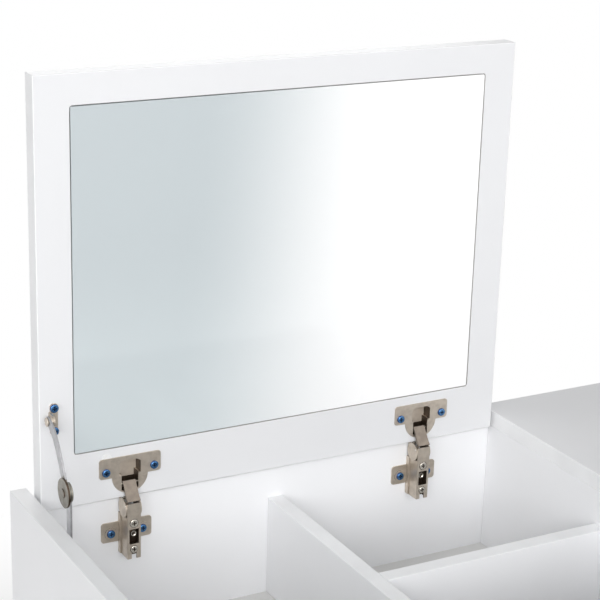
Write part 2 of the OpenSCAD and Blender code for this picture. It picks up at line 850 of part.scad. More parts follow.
module drawer_knob(z0) {
    color(zinc) translate([(ped_x0 + ped_x1) / 2, front_y, z0 + front_h / 2]) rotate([90, 0, 0])
        rotate_extrude($fn = 64) polygon([[0, 0], [knob_base_d / 2, 0],
            [knob_base_d / 2, 1.5], [knob_neck_d / 2, 4], [knob_neck_d / 2, knob_neck_l],
            [knob_d / 2 - 2, knob_reach - knob_edge - 4], [knob_d / 2, knob_reach - knob_edge],
            [knob_d / 2 - 1, knob_reach - 1], [knob_d / 2 - 4, knob_reach], [0, knob_reach]]);
}
module top_drawer_front() { drawer_front(top_z0); }
module top_drawer_box() { drawer_box(top_z0); }
module top_drawer_bottom() { drawer_bottom(top_z0); }
module top_drawer_knob() { drawer_knob(top_z0); }
module top_drawer_runners() { drawer_runners(top_z0); }
module middle_drawer_front() { drawer_front(middle_z0); }
module middle_drawer_box() { drawer_box(middle_z0); }
module middle_drawer_bottom() { drawer_bottom(middle_z0); }
module middle_drawer_knob() { drawer_knob(middle_z0); }
module middle_drawer_runners() { drawer_runners(middle_z0); }
module bottom_drawer_front() { drawer_front(bottom_z0); }
module bottom_drawer_box() { drawer_box(bottom_z0); }
module bottom_drawer_bottom() { drawer_bottom(bottom_z0); }
module bottom_drawer_knob() { drawer_knob(bottom_z0); }
module bottom_drawer_runners() { drawer_runners(bottom_z0); }

left_side_panel();
centre_wall();
right_side_panel();
fixed_top();
bay_back_panel();
front_apron();
bay_floor();
long_divider();
cross_divider();
pedestal_back();
pedestal_bottom();
plinth_rail();
rear_stretcher();
floor_glides();
cam_locks();
dowels();
lid_bumpers();
left_hinge_arm();
right_hinge_arm();
left_mounting_plate();
right_mounting_plate();
arm_pins();
hinge_adjusting_screws();
mounting_plate_screws();
stay_side_bracket();
stay_side_screws();
cabinet_runners();
lid_board();
mirror_glass();
left_hinge_cup();
right_hinge_cup();
cup_screws();
cup_pins();
stay_lid_bracket();
stay_lid_screws();
hole_cap();
left_outer_link();
right_outer_link();
left_inner_link();
right_inner_link();
stay_upper_arm();
stay_lower_arm();
stay_knuckle();
top_drawer_front();
top_drawer_box();
top_drawer_bottom();
top_drawer_knob();
top_drawer_runners();
middle_drawer_front();
middle_drawer_box();
middle_drawer_bottom();
middle_drawer_knob();
middle_drawer_runners();
bottom_drawer_front();
bottom_drawer_box();
bottom_drawer_bottom();
bottom_drawer_knob();
bottom_drawer_runners();
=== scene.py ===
"""The flip top vanity table: its boards, mirrored lid, concealed hinges, stay and drawers.

Every piece is a dressed copy of the solid that it stands for, or a detail seated on one. Lengths
are written in millimetres and turned to metres where a mesh is made. The finishes, the lamps and
the floor are written in metres.
"""

from __future__ import annotations

import json
import logging
import math
from dataclasses import dataclass, field
from enum import Enum
from typing import Iterable, Mapping, Sequence

import bmesh
import bpy
from mathutils import Matrix, Vector


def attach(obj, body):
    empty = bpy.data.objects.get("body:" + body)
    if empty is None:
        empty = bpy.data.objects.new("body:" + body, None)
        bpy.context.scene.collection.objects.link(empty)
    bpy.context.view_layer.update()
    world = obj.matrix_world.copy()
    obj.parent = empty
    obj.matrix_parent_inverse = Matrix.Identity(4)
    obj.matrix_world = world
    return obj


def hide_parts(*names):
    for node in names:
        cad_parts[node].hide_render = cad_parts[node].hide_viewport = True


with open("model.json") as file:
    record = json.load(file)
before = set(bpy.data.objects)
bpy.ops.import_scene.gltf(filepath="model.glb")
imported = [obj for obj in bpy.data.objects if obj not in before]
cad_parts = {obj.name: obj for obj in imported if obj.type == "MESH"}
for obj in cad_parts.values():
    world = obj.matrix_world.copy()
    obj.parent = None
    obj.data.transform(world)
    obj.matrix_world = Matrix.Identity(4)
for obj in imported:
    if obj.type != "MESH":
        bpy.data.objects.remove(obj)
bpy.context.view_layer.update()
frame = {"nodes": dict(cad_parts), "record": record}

Colour = tuple[float, float, float]
Point = tuple[float, float, float]
Span = tuple[float, float]

MM = 0.001
LOG = logging.getLogger("vanity_table")

# The open lid's inner lower left corner, and how far to the right of it each hinge has its middle.
LID_CORNER = (-479.5, 186.2, 745.3)
HINGE_MIDDLES = (87.0, 404.0)

# Vertices this close, in metres, are one, and an edge that turns by more than this is sharp.
SAME_PLACE = 0.5e-6
SHARP_ANGLE = math.radians(32)

# The face layer that marks what a rounding added.
ROUNDING = "rounding"

# Cosines of a face's normal with an axis: lying flat, square on, mostly facing it, turned aside.
FLAT = 0.99
SQUARE = 0.9
FACING = 0.7
ASIDE = 0.5


# ---------------------------------------------------------------------------------------------
# Shader maths
# ---------------------------------------------------------------------------------------------


class Signal:
    """A shader socket that takes part in Python expressions; each operator adds a Math node."""

    def __init__(self, tree: "NodeTree", socket: bpy.types.NodeSocket) -> None:
        """Keep the tree that grows and the socket that carries the value."""
        self.tree = tree
        self.socket = socket

    def _maths(self, operation: str, *values: "Signal | float") -> "Signal":
        """Add one Math node, with its inputs in order."""
        inputs = dict(enumerate(values))
        return self.tree.add("ShaderNodeMath", {"operation": operation}, inputs).out(0)

    def __add__(self, other: "Signal | float") -> "Signal":
        """The sum."""
        return self._maths("ADD", self, other)

    __radd__ = __add__

    def __sub__(self, other: "Signal | float") -> "Signal":
        """The difference."""
        return self._maths("SUBTRACT", self, other)

    def __rsub__(self, other: "Signal | float") -> "Signal":
        """The difference from a number."""
        return self._maths("SUBTRACT", other, self)

    def __mul__(self, other: "Signal | float") -> "Signal":
        """The product."""
        return self._maths("MULTIPLY", self, other)

    __rmul__ = __mul__

    def within(self, low: float, high: float) -> "Signal":
        """Rise smoothly from 0 at low to 1 at high.

        Args:
            low: the value that gives 0.
            high: the value that gives 1.

        Returns:
            The eased share.
        """
        limits = {"From Min": low, "From Max": high}
        eased = {"interpolation_type": "SMOOTHSTEP", "clamp": True}
        return self.tree.add("ShaderNodeMapRange", eased, {"Value": self, **limits}).out("Result")


class Placed:
    """One node of a material, with its outputs at hand as signals."""

    def __init__(self, tree: "NodeTree", node: bpy.types.Node) -> None:
        """Keep the node and its tree."""
        self.tree = tree
        self.node = node

    def out(self, key: "str | int") -> Signal:
        """One output, by name or number."""
        return Signal(self.tree, self.node.outputs[key])


@dataclass(frozen=True)
class Grain:
    """A cloudy pattern: how fine it is, how many layers it has and how rough they are."""

    scale: float
    detail: float = 2.0
    rough: float = 0.55


class NodeTree:
    """Builds the node tree of one material or world."""

    def __init__(self, tree: bpy.types.NodeTree) -> None:
        """Empty the tree."""
        self.tree = tree
        tree.nodes.clear()

    def add(
        self,
        kind: str,
        settings: Mapping[str, object] | None = None,
        inputs: Mapping["str | int", object] | None = None,
    ) -> Placed:
        """Add a node.

        Args:
            kind: the node's type name.
            settings: its properties, which are set before its sockets.
            inputs: a number, colour or signal for each socket, by name or number.

        Returns:
            The node.
        """
        node = self.tree.nodes.new(kind)
        for key, value in (settings or {}).items():
            setattr(node, key, value)
        for key, value in (inputs or {}).items():
            socket = node.inputs[key]
            if isinstance(value, Signal):
                self.tree.links.new(value.socket, socket)
            elif isinstance(value, tuple) and socket.type == "RGBA":
                socket.default_value = (*value, 1.0)
            else:
                socket.default_value = value
        return Placed(self, node)

    def position(self) -> Signal:
        """The point on the piece, in the table's own frame."""
        return self.add("ShaderNodeTexCoord").out("Object")

    def stretched(self, scale: Point) -> Signal:
        """The point after a stretch along each axis."""
        inputs = {"Vector": self.position(), "Scale": scale}
        return self.add("ShaderNodeMapping", None, inputs).out("Vector")

    def noise(self, at: Signal, grain: Grain) -> Signal:
        """Cloudy noise from 0 to 1.

        Args:
            at: the point where it is read.
            grain: the pattern.

        Returns:
            The noise.
        """
        inputs = {
            "Vector": at,
            "Scale": grain.scale,
            "Detail": grain.detail,
            "Roughness": grain.rough,
        }
        return self.add("ShaderNodeTexNoise", None, inputs).out("Fac")

    def mix(
        self, share: "Signal | float", low: "Signal | Colour", high: "Signal | Colour"
    ) -> Signal:
        """Blend two colours.

        Args:
            share: how much of the second colour shows.
            low: the first colour.
            high: the second colour.

        Returns:
            The blended colour.
        """
        inputs = {0: share, 6: low, 7: high}
        return self.add("ShaderNodeMix", {"data_type": "RGBA"}, inputs).out(2)

    def bump(self, height: Signal, depth: float) -> Signal:
        """Turn a height into a normal.

        Args:
            height: the height from 0 to 1.
            depth: what a height of 1 means, in metres.

        Returns:
            The normal.
        """
        inputs = {"Height": height, "Distance": depth}
        return self.add("ShaderNodeBump", None, inputs).out("Normal")

    def finish(self, shader: Signal) -> None:
        """Join a shader to the material's output."""
        self.add("ShaderNodeOutputMaterial", None, {"Surface": shader})


# ---------------------------------------------------------------------------------------------
# Finishes
# ---------------------------------------------------------------------------------------------


class Finish:
    """A surface finish that makes its material once and hands it out."""

    name: str = "finish"

    def material(self) -> bpy.types.Material:
        """The material of this finish.

        Returns:
            The material, made on first use.
        """
        label = f"{self.name}_finish"
        known = bpy.data.materials.get(label)
        if known:
            return known
        made = bpy.data.materials.new(label)
        made.use_nodes = True
        tree = NodeTree(made.node_tree)
        sockets = self.sockets(tree)
        tree.finish(tree.add("ShaderNodeBsdfPrincipled", None, sockets).out("BSDF"))
        return made

    def sockets(self, tree: NodeTree) -> dict[str, object]:
        """What the shader's sockets take.

        Args:
            tree: the material's tree, which the finish adds its nodes to.

        Returns:
            A number, colour or signal for each socket, by name.
        """
        raise NotImplementedError


@dataclass(frozen=True)
class Laminate(Finish):
    """White melamine on particle board: a faint pebble, with a little drift in its gloss."""

    name: str = "white_laminate"
    tone: Colour = (0.885, 0.89, 0.905)
    drift: Colour = (0.865, 0.87, 0.885)
    rough: float = 0.42
    depth: float = 0.000012
    clouds: Grain = Grain(5.0, 3.0)
    cloud_span: Span = (0.35, 0.75)
    pebbles: Grain = Grain(900.0)
    smudges: Grain = Grain(60.0)
    smudge_rough: float = 0.08
    specular: float = 0.4

    def sockets(self, tree: NodeTree) -> dict[str, object]:
        """A tone that wanders slightly, over a fine pebble.

        Args:
            tree: the material's tree.

        Returns:
            What the shader's sockets take.
        """
        at = tree.position()
        cloud = tree.noise(at, self.clouds).within(*self.cloud_span)
        return {
            "Base Color": tree.mix(cloud, self.tone, self.drift),
            "Roughness": self.rough + self.smudge_rough * tree.noise(at, self.smudges),
            "Normal": tree.bump(tree.noise(at, self.pebbles), self.depth),
            "Specular IOR Level": self.specular,
        }


@dataclass(frozen=True)
class EdgeBand(Finish):
    """The plastic band on a board's edges, with the fine lines of its planing."""

    name: str = "white_edge_band"
    tone: Colour = (0.89, 0.895, 0.905)
    drift: Colour = (0.85, 0.855, 0.865)
    rough: float = 0.34
    depth: float = 0.000008
    clouds: Grain = Grain(18.0)
    cloud_span: Span = (0.4, 0.7)
    planing: Grain = Grain(1600.0, 1.0)
    planing_rough: float = 0.12

    def sockets(self, tree: NodeTree) -> dict[str, object]:
        """Lines across the band and a slight change of tone.

        Args:
            tree: the material's tree.

        Returns:
            What the shader's sockets take.
        """
        at = tree.position()
        lines = tree.noise(at, self.planing)
        cloud = tree.noise(at, self.clouds).within(*self.cloud_span)
        return {
            "Base Color": tree.mix(cloud, self.tone, self.drift),
            "Roughness": self.rough + self.planing_rough * lines,
            "Normal": tree.bump(lines, self.depth),
        }


@dataclass(frozen=True)
class Plating(Finish):
    """Plated steel or cast metal with fine mill lines, mottling and rubbed spots."""

    name: str = "plated_steel"
    tone: Colour = (0.6, 0.53, 0.45)
    dull: Colour = (0.5, 0.44, 0.37)
    rough: float = 0.3
    spread: float = 0.14
    lines: Point = (2600.0, 260.0, 260.0)
    depth: float = 0.000006
    metal: float = 0.75
    mottle: Grain = Grain(140.0, 3.0)
    mottle_span: Span = (0.35, 0.7)
    mill: Grain = Grain(1.0)
    mill_rough: float = 0.08

    def sockets(self, tree: NodeTree) -> dict[str, object]:
        """Mill lines along one way, with cloudy patches of tone and gloss.

        Args:
            tree: the material's tree.

        Returns:
            What the shader's sockets take.
        """
        patches = tree.noise(tree.position(), self.mottle)
        mill = tree.noise(tree.stretched(self.lines), self.mill)
        return {
            "Base Color": tree.mix(patches.within(*self.mottle_span), self.tone, self.dull),
            "Metallic": self.metal,
            "Roughness": self.rough + self.spread * (patches - 0.5) + self.mill_rough * mill,
            "Normal": tree.bump(mill, self.depth),
        }


@dataclass(frozen=True)
class SilveredGlass(Finish):
    """A mirror with a painted reflection: pale green-grey at the left, fading to white towards the
    right, and lighter towards the bottom as painted light.
    """

    name: str = "silvered_glass_painted_reflection"
    # Painted reflection: the grey at the left, lighter low down, and the white that it fades to.
    shade: Colour = (0.525, 0.575, 0.595)
    reflection_grey_low: Colour = (0.62, 0.68, 0.7)
    clear: Colour = (1.0, 1.0, 1.0)
    tilt: float = 0.11
    reflection_ramp: Span = (-0.447, -0.217)
    reflection_heights: Span = (0.78, 1.0)
    rough: float = 0.03
    waves: Grain = Grain(3.0, 1.0)
    wave_rough: float = 0.01
    silver: float = 0.05
    specular: float = 0.3

    def sockets(self, tree: NodeTree) -> dict[str, object]:
        """A slanted, soft change of tone that paints the reflection, lighter low down, with the
        faint waviness of float glass in its gloss.

        Args:
            tree: the material's tree.

        Returns:
            What the shader's sockets take.
        """
        at = tree.position()
        parts = tree.add("ShaderNodeSeparateXYZ", None, {"Vector": at})
        across = parts.out("X") - self.tilt * parts.out("Z")
        raised = parts.out("Z").within(*self.reflection_heights)
        shade = tree.mix(raised, self.reflection_grey_low, self.shade)
        return {
            "Base Color": tree.mix(across.within(*self.reflection_ramp), shade, self.clear),
            "Metallic": self.silver,
            "Roughness": self.rough + self.wave_rough * tree.noise(at, self.waves),
            "Specular IOR Level": self.specular,
        }


@dataclass(frozen=True)
class Plastic(Finish):
    """Moulded plastic with a fine spark-eroded grain."""

    name: str = "white_plastic"
    tone: Colour = (0.84, 0.84, 0.84)
    rough: float = 0.45
    coat: float = 0.0
    depth: float = 0.00002
    pits: Grain = Grain(700.0)
    pit_span: Span = (0.3, 0.8)
    pit_shade: float = 0.94
    pit_rough: float = 0.1

    def sockets(self, tree: NodeTree) -> dict[str, object]:
        """Grain in the relief, in the tone and in the gloss.

        Args:
            tree: the material's tree.

        Returns:
            What the shader's sockets take.
        """
        pits = tree.noise(tree.position(), self.pits)
        low = tuple(self.pit_shade * part for part in self.tone)
        return {
            "Base Color": tree.mix(pits.within(*self.pit_span), self.tone, low),
            "Roughness": self.rough + self.pit_rough * pits,
            "Normal": tree.bump(pits, self.depth),
            "Coat Weight": self.coat,
        }


@dataclass(frozen=True)
class Beech(Finish):
    """Turned beech with short dark flecks along the grain."""

    name: str = "beech"
    tone: Colour = (0.62, 0.42, 0.24)
    fleck: Colour = (0.44, 0.27, 0.14)
    along: Point = (120.0, 900.0, 900.0)
    flecks: Grain = Grain(1.0, 4.0)
    fleck_span: Span = (0.45, 0.7)
    rough: float = 0.6
    fleck_rough: float = 0.15
    depth: float = 0.00004

    def sockets(self, tree: NodeTree) -> dict[str, object]:
        """Flecks stretched along X, the way that most of the dowels lie.

        Args:
            tree: the material's tree.

        Returns:
            What the shader's sockets take.
        """
        flecks = tree.noise(tree.stretched(self.along), self.flecks)
        return {
            "Base Color": tree.mix(flecks.within(*self.fleck_span), self.tone, self.fleck),
            "Roughness": self.rough + self.fleck_rough * flecks,
            "Normal": tree.bump(flecks, self.depth),
        }


LAMINATE = Laminate()
# Painted shade: a darker copy of the white laminate, on the lid and the fronts.
FRONT_LAMINATE_SHADED = Laminate("front_laminate_painted_shade", (0.77, 0.775, 0.79), (0.755, 0.76, 0.775))
# Painted shade: a darker copy of the white laminate, on the floor deep in the bay.
BAY_FLOOR_SHADED = Laminate("bay_floor_laminate_painted_shade", (0.72, 0.715, 0.7), (0.7, 0.695, 0.68), 0.5)
HARDBOARD = Laminate("white_hardboard", (0.8, 0.8, 0.8), (0.77, 0.77, 0.77), 0.55, 0.00003)
EDGE = EdgeBand()
# Bare board in the lid's recess, darkened as painted shade of the gap round the mirror.
BARE_BOARD_AND_GAP_SHADE = EdgeBand("bare_board_and_gap_shade", (0.55, 0.54, 0.53), (0.46, 0.45, 0.44), 0.7)
# Painted shade: a dark line on the rounding of the lid's right edge.
EDGE_LINE_SHADE = EdgeBand("painted_edge_shade_line", (0.42, 0.43, 0.45), (0.36, 0.37, 0.39), 0.6)
# The mirror's reflection is painted into its colour.
MIRROR_PAINTED_REFLECTION = SilveredGlass()

NICKEL = Plating("warm_nickel")
# Painted shade: a darker copy of the hinge nickel, on the outer links.
LINK_NICKEL_SHADED = Plating("link_nickel_painted_shade", (0.27, 0.23, 0.19), (0.22, 0.185, 0.155), 0.4)
# Painted light: a paler, less metallic copy of the nickel, on the upper floor of each cup's
# pocket.
POCKET_FLOOR_LIT = Plating("pocket_floor_painted_light", (0.62, 0.54, 0.45), (0.56, 0.48, 0.4), metal=0.3)
# Painted shade: a near-black copy of the nickel, in the cups' pockets and under their rims, on the
# arms' cut edges and insides, on the plates' rib and bosses and on the drum's side.
PAINTED_SHADE_NICKEL = Plating("nickel_painted_shade", (0.1, 0.07, 0.05), (0.06, 0.045, 0.03))
PIN_STEEL = Plating("bright_pin_steel", (0.74, 0.7, 0.62), (0.62, 0.58, 0.52), 0.2, 0.1, metal=0.9)

BLUE_ZINC = Plating("blue_zinc", (0.075, 0.2, 0.42), (0.11, 0.25, 0.47), 0.16, 0.08, metal=0.9)
# Painted shade: darker copies of the blue zinc and the pin steel, for the screw heads' rims and
# cross recesses.
BLUE_RIM_SHADE = Plating("blue_zinc_rim_painted_shade", (0.015, 0.045, 0.17), (0.03, 0.08, 0.24), 0.24, metal=0.6)
BLUE_CROSS_SHADE = Plating("blue_zinc_cross_painted_shade", (0.006, 0.014, 0.05), (0.01, 0.02, 0.07), 0.4)
STEEL_RIM_SHADE = Plating("steel_rim_painted_shade", (0.1, 0.08, 0.06), (0.07, 0.055, 0.04))
STEEL_CROSS_SHADE = Plating("steel_cross_painted_shade", (0.1, 0.08, 0.06), (0.07, 0.05, 0.04), 0.4)

# The stay's mill lines run across its arms.
ACROSS_STAY = (260.0, 260.0, 2600.0)
STAY_ZINC = Plating("stay_zinc", (0.5, 0.5, 0.515), (0.42, 0.425, 0.44), 0.34, lines=ACROSS_STAY)
STAY_PALE = Plating(
    "stay_pale_zinc", (0.76, 0.76, 0.775), (0.66, 0.665, 0.68), 0.34, lines=ACROSS_STAY
)
STAY_EDGE = Plating("stay_sheared_edge", (0.4, 0.4, 0.41), (0.33, 0.33, 0.34), 0.42)
# The drum's own darker nickel, which the stay's arms also take round the drum as painted shade.
DRUM_NICKEL_AND_EYE_SHADE = Plating(
    "drum_nickel_and_eye_shade", (0.3, 0.285, 0.25), (0.22, 0.205, 0.175), 0.34, 0.12, metal=0.8
)

GALVANISED = Plating("galvanised_steel", (0.62, 0.63, 0.64), (0.5, 0.51, 0.52), 0.38, 0.16)
KNOB_NICKEL = Plating("satin_nickel", (0.62, 0.6, 0.57), (0.55, 0.53, 0.5), 0.3, 0.08)
CAST_ZINC = Plating("cast_zinc", (0.5, 0.5, 0.51), (0.4, 0.4, 0.41), 0.48, 0.16)
WHITE_PLASTIC = Plastic()
CLEAR_PAD = Plastic("clear_pad", (0.78, 0.82, 0.82), 0.2, 0.4)
BEECH = Beech()


# ---------------------------------------------------------------------------------------------
# Mesh work
# ---------------------------------------------------------------------------------------------


class Axis(Enum):
    """The way that a board is thin."""

    X = 0
    Y = 1
    Z = 2


def body_of(node: str) -> str:
    """The name of the body that holds a solid."""
    bodies = frame["record"]["behaviour"]["bodies"]
    return next(body for body, nodes in bodies.items() if node in nodes)


def in_lid_frame(point: Vector) -> Vector:
    """A place measured in millimetres from the open lid's inner lower left corner."""
    return (point - Vector(LID_CORNER) * MM) / MM


def from_hinge(point: Vector) -> float:
    """The distance in millimetres, to the right, of a place from the nearer hinge's middle."""
    offsets = [in_lid_frame(point).x - middle for middle in HINGE_MIDDLES]
    return min(offsets, key=abs)


class Workshop:
    """Rounds surfaces and turns them into pieces that ride on a body and stand for solids."""

    @staticmethod
    def copy_of(node: str) -> bmesh.types.BMesh:
        """A joined copy of a solid's surface.

        Args:
            node: the solid's name.

        Returns:
            Its surface, with its loose triangles merged and facing outwards.
        """
        mesh = bmesh.new()
        mesh.from_mesh(frame["nodes"][node].data)
        mesh.faces.layers.int.new(ROUNDING)
        bmesh.ops.remove_doubles(mesh, verts=mesh.verts, dist=SAME_PLACE)
        bmesh.ops.recalc_face_normals(mesh, faces=mesh.faces)
        return mesh

    @staticmethod
    def round_off(
        mesh: bmesh.types.BMesh, edges: Sequence[bmesh.types.BMEdge], width: float, steps: int
    ) -> None:
        """Round some edges and mark the faces that this adds.

        Args:
            mesh: the surface.
            edges: its edges to round.
            width: the width of the rounding, in millimetres.
            steps: the number of strips that make up the rounding.
        """
        added = bmesh.ops.bevel(
            mesh,
            geom=edges,
            affect="EDGES",
            offset=width * MM,
            segments=steps,
            profile=0.5,
            material=-1,
            clamp_overlap=False,
        )
        marks = mesh.faces.layers.int.get(ROUNDING)
        for face in added["faces"]:
            face[marks] = 1
        mesh.normal_update()

    @staticmethod
    def soften(mesh: bmesh.types.BMesh, width: float, steps: int, least: float) -> None:
        """Round the sharp edges of a surface.

        Args:
            mesh: the surface.
            width: the width of the rounding, in millimetres.
            steps: the number of strips that make up the rounding.
            least: the shortest edge that is rounded, in millimetres.
        """
        sharp = [
            edge
            for edge in mesh.edges
            if len(edge.link_faces) == 2
            and edge.calc_face_angle(0.0) > SHARP_ANGLE
            and edge.calc_length() > least * MM
        ]
        Workshop.round_off(mesh, sharp, width, steps)

    @staticmethod
    def _mean_normal(face: bmesh.types.BMFace, faces: Iterable[bmesh.types.BMFace]) -> Vector:
        """The mean normal of a face and those that turn little from it, by area.

        Args:
            face: the face.
            faces: the faces round one of its corners.

        Returns:
            The normal.
        """
        total = face.normal * face.calc_area()
        for other in faces:
            if other is not face and other.normal.dot(face.normal) > math.cos(SHARP_ANGLE):
                total += other.normal * other.calc_area()
        return total.normalized()

    @staticmethod
    def shading(mesh: bmesh.types.BMesh) -> list[Vector]:
        """Work out corner normals that leave flat faces flat beside their rounded edges.

        Args:
            mesh: the surface, with its roundings marked where it has any.

        Returns:
            One normal for each corner of each face, in order.
        """
        marks = mesh.faces.layers.int.get(ROUNDING)
        normals = []
        for face in mesh.faces:
            for corner in face.loops:
                around = corner.vert.link_faces
                flat = [other for other in around if not other[marks]]
                if not face[marks]:
                    normals.append(Workshop._mean_normal(face, flat))
                elif flat:
                    nearest = max(flat, key=lambda other: other.normal.dot(face.normal))
                    normals.append(Workshop._mean_normal(nearest, flat))
                else:
                    normals.append(Workshop._mean_normal(face, around))
        return normals

    @staticmethod
    def publish(
        name: str,
        mesh: bmesh.types.BMesh,
        carrier: str,
        finishes: Sequence[Finish],
        replaced: Iterable[str] = (),
    ) -> None:
        """Make a piece of a finished surface.

        Args:
            name: the piece's name.
            mesh: its surface, which is freed.
            carrier: the solid whose body it takes.
            finishes: its finishes, in the order of its faces' material numbers.
            replaced: the solids that it stands for.
        """
        data = bpy.data.meshes.new(name)
        normals = Workshop.shading(mesh)
        mesh.to_mesh(data)
        mesh.free()
        piece = bpy.data.objects.new(name, data)
        bpy.context.scene.collection.objects.link(piece)
        for finish in finishes:
            data.materials.append(finish.material())
        data.polygons.foreach_set("use_smooth", [True] * len(data.polygons))
        data.normals_split_custom_set(normals)
        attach(piece, body_of(carrier))
        if replaced:
            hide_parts(*replaced)
        LOG.info("%s: %d faces on %s", name, len(data.polygons), body_of(carrier))


# ---------------------------------------------------------------------------------------------
# Sub-assemblies
# ---------------------------------------------------------------------------------------------


@dataclass
class DressedSolids:
    """Solids whose own surface is right and only needs its finish."""

    finish: Finish
    nodes: Sequence[str]

    def build(self) -> None:
        """Give each solid its finish."""
        for node in self.nodes:
            data = frame["nodes"][node].data
            data.materials.clear()
            data.materials.append(self.finish.material())
            LOG.info("%s: finished with %s", node, self.finish.name)


@dataclass
class Boards:
    """Boards with laminate on their faces and a band on their rounded edges."""

    nodes: Mapping[str, Axis]
    face: Finish = LAMINATE
    band: Finish = EDGE
    others: tuple[Finish, ...] = ()
    radius: float = 0.7
    segments: int = 3
    least: float = 12.0

    def build(self) -> None:
        """Make one piece for each board."""
        for node, thin in self.nodes.items():
            mesh = Workshop.copy_of(node)
            Workshop.soften(mesh, self.radius, self.segments, self.least)
            for face in mesh.faces:
                face.material_index = self.zone(face, thin)
            finishes = [self.face, self.band, *self.others]
            Workshop.publish(f"{node}_piece", mesh, node, finishes, [node])

    def zone(self, face: bmesh.types.BMFace, thin: Axis) -> int:
        """0 on a board's two faces and 1 on its edges."""
        return 0 if abs(face.normal[thin.value]) > FLAT else 1


@dataclass
class LidBoard(Boards):
    """The lid, with bare board and painted shade in its recess for the mirror, and a painted shade
    line at one edge.
    """

    margin: float = 20.0
    width: float = 491.0
    height: float = 400.0
    skin: float = 0.05
    shade_line_reach: float = 1.0
    shade_line_lean: Span = (0.3, 0.9)

    def zone(self, face: bmesh.types.BMFace, thin: Axis) -> int:
        """Tell the recess and the painted shade line from the rest of the lid.

        Args:
            face: a face of the lid.
            thin: the way that the lid is thin.

        Returns:
            2 in the recess's walls, bare board with painted shade, 3 on the painted shade line,
            and otherwise as on any board.
        """
        at = in_lid_frame(face.calc_center_median())
        inside = self.margin < at.x < self.width - self.margin
        inside = inside and self.margin < at.z < self.height - self.margin
        lean = -face.normal[thin.value]
        # Bare board in the recess, darkened as painted shade of the gap round the mirror.
        if inside and at.y > self.skin and abs(lean) < FLAT:
            return 2
        # Painted shade on the rounding of the lid's right edge.
        if at.x > self.width - self.shade_line_reach and self.shade_line_lean[0] < lean < self.shade_line_lean[1]:
            return 3
        return super().zone(face, thin)


@dataclass
class SoftenedParts:
    """Solids that are shown as copies with rounded edges, in one or more finishes."""

    finish: Finish
    nodes: Sequence[str]
    others: tuple[Finish, ...] = ()
    radius: float = 0.25
    segments: int = 2
    least: float = 0.35

    def build(self) -> None:
        """Make one rounded piece for each solid."""
        for node in self.nodes:
            mesh = Workshop.copy_of(node)
            mesh.normal_update()
            self.shape(mesh)
            for face in mesh.faces:
                face.material_index = self.zone(face)
            finishes = [self.finish, *self.others]
            Workshop.publish(f"{node}_piece", mesh, node, finishes, [node])

    def shape(self, mesh: bmesh.types.BMesh) -> None:
        """Round the edges of one solid's surface."""
        Workshop.soften(mesh, self.radius, self.segments, self.least)

    def zone(self, face: bmesh.types.BMFace) -> int:
        """The number of the finish that a face takes."""
        return 0


@dataclass
class PanHeadScrews(SoftenedParts):
    """Cross-head screws whose flat solid heads are shown domed, with painted shade at the rim and
    in the cross.
    """

    outward: Point = (0.0, -1.0, 0.0)
    dome: float = 1.1
    steps: int = 4
    rim_edge: float = 0.7
    rim_lean: float = 0.7
    rim_wall: float = 0.1
    cross_depth: float = 0.5
    cross_wall: float = 0.2
    cross_area: float = 0.4e-6
    top: float = field(default=0.0, init=False)

    def shape(self, mesh: bmesh.types.BMesh) -> None:
        """Dome each head at its outer rim.

        Args:
            mesh: the surface of the screws.
        """
        out = Vector(self.outward)
        self.top = max(vert.co.dot(out) for vert in mesh.verts)
        rim = [edge for edge in mesh.edges if self._is_rim(edge)]
        Workshop.round_off(mesh, rim, self.dome, self.steps)

    def zone(self, face: bmesh.types.BMFace) -> int:
        """Tell the parts of a head.

        Args:
            face: a face of a screw.

        Returns:
            0 for the crown, 1 for the rim and 2 for the cross, both with painted shade.
        """
        out = Vector(self.outward)
        lean = face.normal.dot(out)
        below = self.top - face.calc_center_median().dot(out)
        if lean > SQUARE and below > self.cross_depth * MM:
            return 2
        if abs(lean) < self.cross_wall and face.calc_area() > self.cross_area:
            return 2
        return 1 if lean < self.rim_lean else 0

    def _is_rim(self, edge: bmesh.types.BMEdge) -> bool:
        """Find the outer rim of a head's top.

        Args:
            edge: an edge of a screw.

        Returns:
            Whether it is a piece of the rim.
        """
        if len(edge.link_faces) != 2 or edge.calc_length() > self.rim_edge * MM:
            return False
        out = Vector(self.outward)
        leans = sorted(face.normal.dot(out) for face in edge.link_faces)
        return abs(leans[0]) < self.rim_wall and leans[1] > SQUARE


